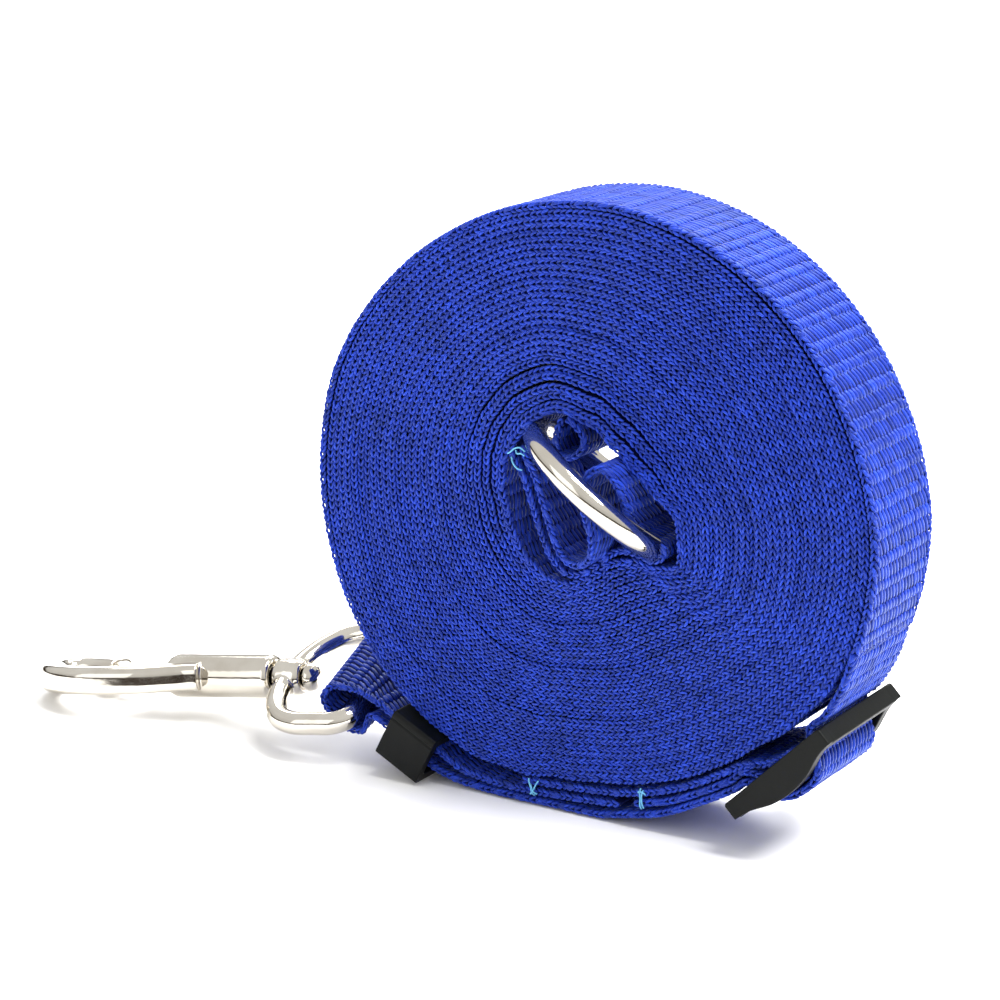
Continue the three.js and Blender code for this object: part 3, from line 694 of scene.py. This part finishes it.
def add_coil(materials):
    line = coil_line(0.5)
    strap = Strap(line, np.broadcast_to([[0.0, 1.0, 0.0]], line.shape))
    # The face direction of a line that winds this way points inward; turn it to point out of the coil.
    if np.dot(strap.face[0], line[0]) < 0:
        strap.face = -strap.face
    first_turn = 2 * math.pi * 49.5
    last_turn = 2 * math.pi * 15.5
    core, parts = weave(
        "coil_webbing", strap, ["coiled_strap"], materials, open_out=lambda s: s < first_turn * 1.02,
        open_in=lambda s: s > strap.length - last_turn, pieces=4, core_spacing=1.0, squeeze=1.1,
        float_spans={1: (0.0, first_turn * 1.03), -1: (strap.length - last_turn * 1.05, strap.length)})
    return strap


def add_free_straps(materials):
    hook = route_strap(HOOK_LOOP_ROUTE, 0.3, tuple(BAR_DIRECTION))
    core, parts = weave("hook_loop_webbing", hook, ["hook_loop_strap"], materials, core_spacing=0.7)
    loop = route_strap(SLIDE_LOOP_ROUTE, 0.3)
    core, parts = weave("slide_loop_webbing", loop, ["slide_loop_strap"], materials, core_spacing=0.6)
    handle = pushed_strap(HANDLE_ROUTE, 0.3)
    core, parts = weave("handle_webbing", handle, ["handle_strap"], materials, core_spacing=0.6)
    fold = route_strap(FOLD_ROUTE, 0.3)
    core, parts = weave("fold_webbing", fold, [], materials, core_spacing=0.6)


# ---- hard fittings -------------------------------------------------------------------------------
def lathe(profile, segments):
    """A closed turned body about +X from (x, radius) points that start and end on the axis."""
    inner = np.array(profile[1:-1], float)
    angles = np.arange(segments) * 2 * math.pi / segments
    ring = np.stack([np.repeat(inner[:, :1], segments, 1), inner[:, 1:] * np.cos(angles),
                     inner[:, 1:] * np.sin(angles)], axis=-1).reshape(-1, 3)
    points = np.vstack([ring, [profile[0][0], 0, 0], [profile[-1][0], 0, 0]])
    rows = np.arange(len(inner) - 1)[:, None] * segments
    near = np.arange(segments)[None]
    far = (near + 1) % segments
    quads = np.stack([rows + near, rows + far, rows + far + segments, rows + near + segments], -1)
    quads = quads.reshape(-1, 4)
    k = np.arange(segments)
    step = np.roll(k, -1)
    last = (len(inner) - 1) * segments
    caps = np.vstack([np.stack([np.full(segments, len(ring)), step, k], 1),
                      np.stack([np.full(segments, len(ring) + 1), last + k, last + step], 1)])
    return points, quads, caps


def swept(points, section, closed=False, spacing=0.35, up=(0, 0, 1)):
    """A closed body of an (n, 2) section swept along a smooth line; the section's second axis is up."""
    line = catmull_rom(points, spacing)[:, :3]
    along = unit(np.gradient(line, axis=0))
    up = np.broadcast_to(np.array(up, float), line.shape)
    side = unit(np.cross(up, along))
    up = unit(np.cross(along, side))
    section = np.array(section, float)
    k = len(section)
    grid = line[:, None] + side[:, None] * section[None, :, :1] + up[:, None] * section[None, :, 1:]
    n = len(line)
    rows = np.arange(n - 1)[:, None] * k
    near = np.arange(k)[None]
    far = (near + 1) % k
    quads = np.stack([rows + near, rows + far, rows + far + k, rows + near + k], -1).reshape(-1, 4)
    points = np.vstack([grid.reshape(-1, 3), line[0], line[-1]])
    r = np.arange(k)
    step = np.roll(r, -1)
    caps = np.vstack([np.stack([np.full(k, n * k), step, r], 1),
                      np.stack([np.full(k, n * k + 1), (n - 1) * k + r, (n - 1) * k + step], 1)])
    return points, quads, caps


def rounded_section(width, height, corner, steps=4):
    out = []
    for turn, (cx, cy) in enumerate([(1, 1), (-1, 1), (-1, -1), (1, -1)]):
        for i in range(steps + 1):
            angle = math.pi / 2 * (turn + i / steps)
            out.append((cx * (width / 2 - corner) + corner * math.cos(angle),
                        cy * (height / 2 - corner) + corner * math.sin(angle)))
    return out


def round_section(radius, sides=20):
    return [(radius * math.cos(2 * math.pi * i / sides), radius * math.sin(2 * math.pi * i / sides))
            for i in range(sides)]


def extruded(profile, low, high):
    """A closed prism of a convex-cornered (x, y) outline between two z heights."""
    k = len(profile)
    flat = np.array(profile, float)
    points = np.vstack([np.column_stack([flat, np.full(k, low)]), np.column_stack([flat, np.full(k, high)])])
    r = np.arange(k)
    step = np.roll(r, -1)
    quads = np.stack([r, step, step + k, r + k], 1)
    return points, quads, [list(r[::-1]), list(r + k)]


def block(low, high):
    x0, y0, z0 = low
    x1, y1, z1 = high
    return extruded([(x0, y0), (x1, y0), (x1, y1), (x0, y1)], z0, z1)


def body_from(name, shapes):
    """One object of several closed shapes, each (points, quads, caps) in its fitting's own frame."""
    bm = bmesh.new()
    for points, quads, caps in shapes:
        verts = [bm.verts.new(Vector(p)) for p in points]
        for face in list(quads) + list(caps):
            bm.faces.new([verts[int(i)] for i in face])
    bmesh.ops.recalc_face_normals(bm, faces=bm.faces)
    mesh = bpy.data.meshes.new(name)
    bm.to_mesh(mesh)
    bm.free()
    obj = bpy.data.objects.new(name, mesh)
    bpy.context.scene.collection.objects.link(obj)
    return obj


def apply_modifiers(obj):
    graph = bpy.context.evaluated_depsgraph_get()
    mesh = bpy.data.meshes.new_from_object(obj.evaluated_get(graph))
    obj.modifiers.clear()
    old = obj.data
    obj.data = mesh
    bpy.data.meshes.remove(old)


def cut_away(obj, *tools):
    for tool in tools:
        modifier = obj.modifiers.new("cut", "BOOLEAN")
        modifier.operation = "DIFFERENCE"
        modifier.solver = "EXACT"
        modifier.object = tool
    apply_modifiers(obj)
    for tool in tools:
        bpy.data.objects.remove(tool)


def cast(obj, matrix, voxel, smoothing, material, keep_faces=1.0):
    """Melts overlapping shapes into one skin with soft corners, then puts it in place in metres."""
    remesh = obj.modifiers.new("skin", "REMESH")
    remesh.mode = "VOXEL"
    remesh.voxel_size = voxel
    remesh.adaptivity = 0.0
    smooth = obj.modifiers.new("smooth", "SMOOTH")
    smooth.factor = 0.5
    smooth.iterations = smoothing
    if keep_faces < 1.0:
        fewer = obj.modifiers.new("fewer", "DECIMATE")
        fewer.ratio = keep_faces
    apply_modifiers(obj)
    settle(obj, matrix, material)
    return obj


def settle(obj, matrix, material, smooth=True):
    """From a fitting's own frame in mm to the row's frame in metres."""
    move = Matrix(np.array(matrix).tolist())
    lift = Matrix.Translation(Vector(COIL_CENTRE))
    obj.data.transform(Matrix.Scale(MM, 4) @ lift @ move)
    obj.data.materials.clear()
    obj.data.materials.append(material)
    obj.data.shade_smooth() if smooth else obj.data.shade_flat()
    return obj


def slide_frame():
    """Own X along the slide, Y outward, Z across the webbing."""
    c, s = math.cos(SLIDE_ANGLE), math.sin(SLIDE_ANGLE)
    m = np.eye(4)
    m[:3, 0] = (c, 0, s)
    m[:3, 1] = (s, 0, -c)
    m[:3, 2] = (0, 1, 0)
    m[:3, 3] = (SLIDE_ORIGIN[0], 0, SLIDE_ORIGIN[1])
    return m


def bezier(p0, p1, p2, p3, count):
    t = np.linspace(0, 1, count, endpoint=False)[:, None]
    p0, p1, p2, p3 = (np.array(p, float) for p in (p0, p1, p2, p3))
    curve = (1 - t) ** 3 * p0 + 3 * (1 - t) ** 2 * t * p1 + 3 * (1 - t) * t * t * p2 + t ** 3 * p3
    return list(map(tuple, curve))


def add_slide(material):
    length, end_thick, mid_thick = 22.0, 2.9, 5.0
    outline = [(0.3, 0), (length - 0.3, 0), (length, 0.3)]
    outline += bezier((length, end_thick), (length - 5, end_thick), (length - 5, mid_thick),
                      (length / 2, mid_thick), 14)
    outline += bezier((length / 2, mid_thick), (5, mid_thick), (5, end_thick), (0, end_thick), 14)
    outline += [(0, end_thick), (0, 0.3)]
    shapes = [extruded(outline, -13, -10.7), extruded(outline, 10.7, 13)]
    bar = 3.1
    shapes.append(block((0.02, 0.02, -11.4), (bar, end_thick + 0.15, 11.4)))
    shapes.append(block((length - bar, 0.02, -11.4), (length - 0.02, end_thick + 0.15, 11.4)))
    shapes.append(block((10.2, 1.0, -11.4), (13.2, 3.2, 11.4)))
    # A shallow moulding step where each end bar meets its side.
    for z in (-10.9, 10.1):
        shapes.append(block((0.6, -0.0, z), (bar + 0.9, 1.2, z + 0.8)))
        shapes.append(block((length - bar - 0.9, -0.0, z), (length - 0.6, 1.2, z + 0.8)))
    slide = cast(body_from("tri_glide", shapes), slide_frame(), 0.17, 5, material)
    keep(slide, "leash", "plastic", "tri_glide_slide")


def add_keeper(material):
    """Own X along the webbing, Y across it, Z up through the sleeve."""
    c, s = math.cos(KEEPER_ANGLE), math.sin(KEEPER_ANGLE)
    m = np.eye(4)
    m[:3, 0] = (c, 0, -s)
    m[:3, 1] = (0, 1, 0)
    m[:3, 2] = (s, 0, c)
    m[:3, 3] = (KEEPER_CENTRE[0], 0, KEEPER_CENTRE[1])
    width, size, wall = 25.6, 9.0, 1.6
    outer = rounded_section(width, size, 0.7)
    inner = rounded_section(width - 2 * wall, size - 2 * wall, 0.5)
    groove = [(-13.4, 2.75), (-12.62, 2.95), (-12.62, 3.25), (-13.4, 3.55)]
    swap = np.array([[0, 0, 1, 0], [1, 0, 0, 0], [0, 1, 0, 0], [0, 0, 0, 1]], float)
    body = body_from("keeper", [extruded(outer, -size / 2, size / 2)])
    cut_away(body, body_from("tool", [extruded(inner, -size, size)]),
             # A groove along the front face, under the rib at its top edge.
             body_from("tool", [extruded(groove, -9, 9)]))
    keeper = cast(body, m @ swap, 0.13, 4, material)
    keep(keeper, "keeper", "plastic", "keeper_loop")


HOOK_SECTION = (5.2, 4.8)
HOOK_LINE = [
    (14, 3.3), (17, 4.2), (20, 6.0), (24, 8.5), (30, 10.0), (36, 10.0), (41, 8.2), (44.5, 4.6), (45.3, 0.9),
    (43.4, -1.7), (39.8, -2.3), (36.4, -1.5), (33.4, -0.6),
]


def add_snap(materials):
    nickel = materials["nickel"]
    barrel = lathe([(0.3, 0), (0.3, 3.0), (0.5, 3.5), (1.1, 3.85), (20.4, 3.85), (21.4, 3.5), (21.9, 2.8),
                    (21.9, 0)], 64)
    hook = swept([(x, y, 0.35) for x, y in HOOK_LINE], rounded_section(*HOOK_SECTION, 1.5), spacing=0.5)
    body = body_from("snap", [barrel])
    cut_away(body, body_from("tool", [lathe([(2.4, 0), (2.4, 2.15), (22, 2.15), (22, 0)], 48)]),
             body_from("tool", [lathe([(-1, 0), (-1, 1.6), (4, 1.6), (4, 0)], 32)]),
             body_from("tool", [block((16 - 7.4, -5, -1.3), (17.4, -1, 1.3))]))
    arm = body_from("arm", [hook])
    cut_away(arm, body_from("tool", [lathe([(2.4, 0), (2.4, 2.15), (22, 2.15), (22, 0)], 48)]))
    join = bmesh.new()
    join.from_mesh(body.data)
    join.from_mesh(arm.data)
    join.to_mesh(body.data)
    join.free()
    bpy.data.objects.remove(arm)
    snap = cast(body, SNAP_FRAME, 0.16, 4, nickel)
    keep(snap, "snap", "nickel", "snap_body")

    rivet = body_from("rivet", [lathe([
        (3.6, 0), (3.6, 1.4), (3.3, 1.8), (2.6, 1.8), (2.6, 1.4), (-6.2, 1.4), (-6.2, 2.3), (-6.35, 2.48),
        (-6.9, 2.45), (-7.5, 2.2), (-8.05, 1.7), (-8.4, 0.9), (-8.5, 0)], 48)])
    keep(settle(rivet, SNAP_FRAME, nickel), "snap", "nickel", "swivel_rivet")

    bolt = body_from("bolt_rod", [lathe([
        (13, 0), (13, 1.45), (13.3, 1.75), (30.4, 1.75), (31.0, 1.55), (31.4, 1.05), (31.4, 0)], 40)])
    keep(settle(bolt, SNAP_FRAME, nickel), "bolt", "nickel", "snap_bolt")

    stem = [(-1.1, 0), (-1.1, 0.5), (2.2, 0.5), (2.2, 0.95), (3.7, 0.95), (3.9, 1.6), (4.2, 1.92), (4.9, 2.0),
            (5.5, 1.85), (5.95, 1.4), (6.15, 0.7), (6.2, 0)]
    knob = body_from("knob", [lathe(stem, 36)])
    # Turned about +X, the stem is stood along the snap's own -Y, at the knob's place on the bolt.
    stand = np.array([[0, 1, 0, 16], [-1, 0, 0, 0], [0, 0, 1, 0], [0, 0, 0, 1]], float)
    keep(settle(knob, SNAP_FRAME @ stand, nickel), "bolt", "nickel", "bolt_knob")

    turns, first, last = 7, 4.0, 12.6
    angle = np.linspace(0, 2 * math.pi * turns, turns * 24 + 1)
    coil_radius = 1.5
    helix = np.stack([first + (last - first) * angle / angle[-1], coil_radius * np.cos(angle),
                      coil_radius * np.sin(angle)], 1)
    spring = body_from("spring", [swept(helix, round_section(0.18, 8), spacing=0.35, up=(1, 0, 0))])
    keep(settle(spring, SNAP_FRAME, materials["steel"]), "snap", "steel", "bolt_spring")


def add_eye(nickel):
    half = [(-2.6, 2.2), (-3.1, 5.4), (-4.6, 9.2), (-7.2, 12.4), (-10.6, 13.8), (-14.2, 13.8), (-17.6, 13.6),
            (-19.5, 12.5), (-20.3, 10.7), (-20.3, 4)]
    mirrored = [(x, -y) for x, y in reversed(half)]
    loop = swept([(x, y, 0) for x, y in half + mirrored], round_section(2.0, 20), spacing=0.5)
    collar = lathe([(-0.3, 0), (-0.3, 2.8), (-0.6, 3.15), (-1.1, 3.3), (-3.1, 3.3), (-4.6, 3.15), (-5.6, 2.7),
                    (-5.6, 0)], 48)
    body = body_from("eye", [loop, collar])
    skin = body.modifiers.new("skin", "REMESH")
    skin.mode = "VOXEL"
    skin.voxel_size = 0.17
    apply_modifiers(body)
    cut_away(body, body_from("tool", [lathe([(1, 0), (1, 1.7), (-7, 1.7), (-7, 0)], 32)]))
    eye = cast(body, EYE_FRAME, 0.17, 5, nickel)
    keep(eye, "eye", "nickel", "swivel_eye")


def add_ring(nickel):
    chord = unit(np.array([0.809, 0, -0.587]))
    depth = unit(np.array([-0.199, 0.941, -0.274]))
    axis = unit(np.cross(chord, depth))
    chord = unit(np.cross(depth, axis))
    ring_radius, wire_radius, centre = 14.0, 2.0, np.array([0.8, -4.7, 3.1])
    around, about = 144, 28
    a = np.arange(around) * 2 * math.pi / around
    b = np.arange(about) * 2 * math.pi / about
    # The butt weld, dressed back, leaves a slight swelling.
    weld = 1 + 0.035 * np.exp(-((a - 2.2) / 0.06) ** 2)
    wire = wire_radius * weld[:, None]
    radial = np.cos(a)[:, None] * chord + np.sin(a)[:, None] * depth
    points = (centre + radial[:, None] * (ring_radius + wire * np.cos(b))[..., None]
              + axis * (wire * np.sin(b))[..., None])
    i, j = np.meshgrid(np.arange(around), np.arange(about), indexing="ij")
    nxt, over = (i + 1) % around, (j + 1) % about
    quads = np.stack([i * about + j, nxt * about + j, nxt * about + over, i * about + over], -1)
    quads = quads.reshape(-1, 4)
    ring = mesh_object("welded_ring", points, quads, nickel)
    keep(ring, "ring", "nickel", "handle_ring")


# ---- sewing thread -------------------------------------------------------------------------------
def thread(name, runs, material, node, radius=0.13):
    """Short runs of sewing thread, each a list of (x, y, z) points."""
    shapes = [swept(run, round_section(radius, 8), spacing=0.12, up=(0, 1, 0.01)) for run in runs]
    obj = body_from(name, shapes)
    settle(obj, np.eye(4), material)
    keep(obj, "leash", "thread", node)


def add_threads(material):
    front = -10.32
    thread("strap_end_thread", [
        [(-9.5, front + 0.3, -45.2), (-9.3, front, -45.6), (-8.95, front - 0.05, -46.6), (-8.7, front, -47.5),
         (-8.3, front + 0.25, -47.9)],
        [(-7.7, front + 0.3, -45.3), (-7.9, front, -45.7), (-8.3, front - 0.08, -46.6), (-8.75, front, -47.4),
         (-9.2, front + 0.2, -47.8)],
        [(-9.2, front + 0.2, -46.0), (-8.8, front - 0.1, -46.5), (-8.45, front - 0.1, -47.2),
         (-7.9, front + 0.2, -47.6)],
    ], material, "strap_end_tack")
    thread("slide_loop_thread", [
        [(11.2, front + 0.35, -42.8), (11.25, front, -43.3), (11.35, front - 0.1, -44.4),
         (11.3, front, -45.6), (11.4, front + 0.3, -46.2)],
        [(11.7, front + 0.3, -43.0), (11.65, front, -43.4), (11.6, front - 0.1, -44.3), (11.7, front, -45.4),
         (11.8, front + 0.3, -46.0)],
        [(10.8, front + 0.3, -43.6), (11.1, front - 0.1, -43.2), (11.8, front - 0.1, -43.25),
         (12.1, front + 0.3, -43.7)],
    ], material, "slide_loop_tack")
    thread("handle_thread", [
        [(-13.6, front + 0.3, 8.6), (-13.0, front, 8.9), (-12.2, front - 0.1, 9.6), (-11.2, front, 9.9),
         (-10.4, front + 0.3, 9.3)],
        [(-12.9, front + 0.3, 8.1), (-12.4, front - 0.1, 7.3), (-11.6, front - 0.1, 6.5),
         (-10.9, front + 0.3, 6.2)],
        [(-12.1, front + 0.3, 9.3), (-11.6, front - 0.1, 8.9), (-10.9, front - 0.1, 9.0),
         (-10.5, front + 0.3, 8.6)],
    ], material, "handle_tack")


# ---- assembly ------------------------------------------------------------------------------------
add_camera()
add_studio()
MATERIALS = {
    "yarn": yarn_material("webbing_yarn", (0.001, 0.009, 0.16), (0.004, 0.021, 0.33), (0.012, 0.052, 0.58),
                          (0.52, 0.76, 1.0)),
    "thread": yarn_material("sewing_thread", (0.10, 0.38, 0.62), (0.17, 0.52, 0.80), (0.35, 0.70, 0.92),
                            (0.8, 0.95, 1.0)),
    "core": painted_shade_core_material(),
    "plastic": plastic_material(),
    "nickel": nickel_material(),
    "steel": steel_material(),
}
add_coil(MATERIALS)
add_free_straps(MATERIALS)
add_slide(MATERIALS["plastic"])
add_keeper(MATERIALS["plastic"])
add_snap(MATERIALS)
add_eye(MATERIALS["nickel"])
add_ring(MATERIALS["nickel"])
add_threads(MATERIALS["thread"])
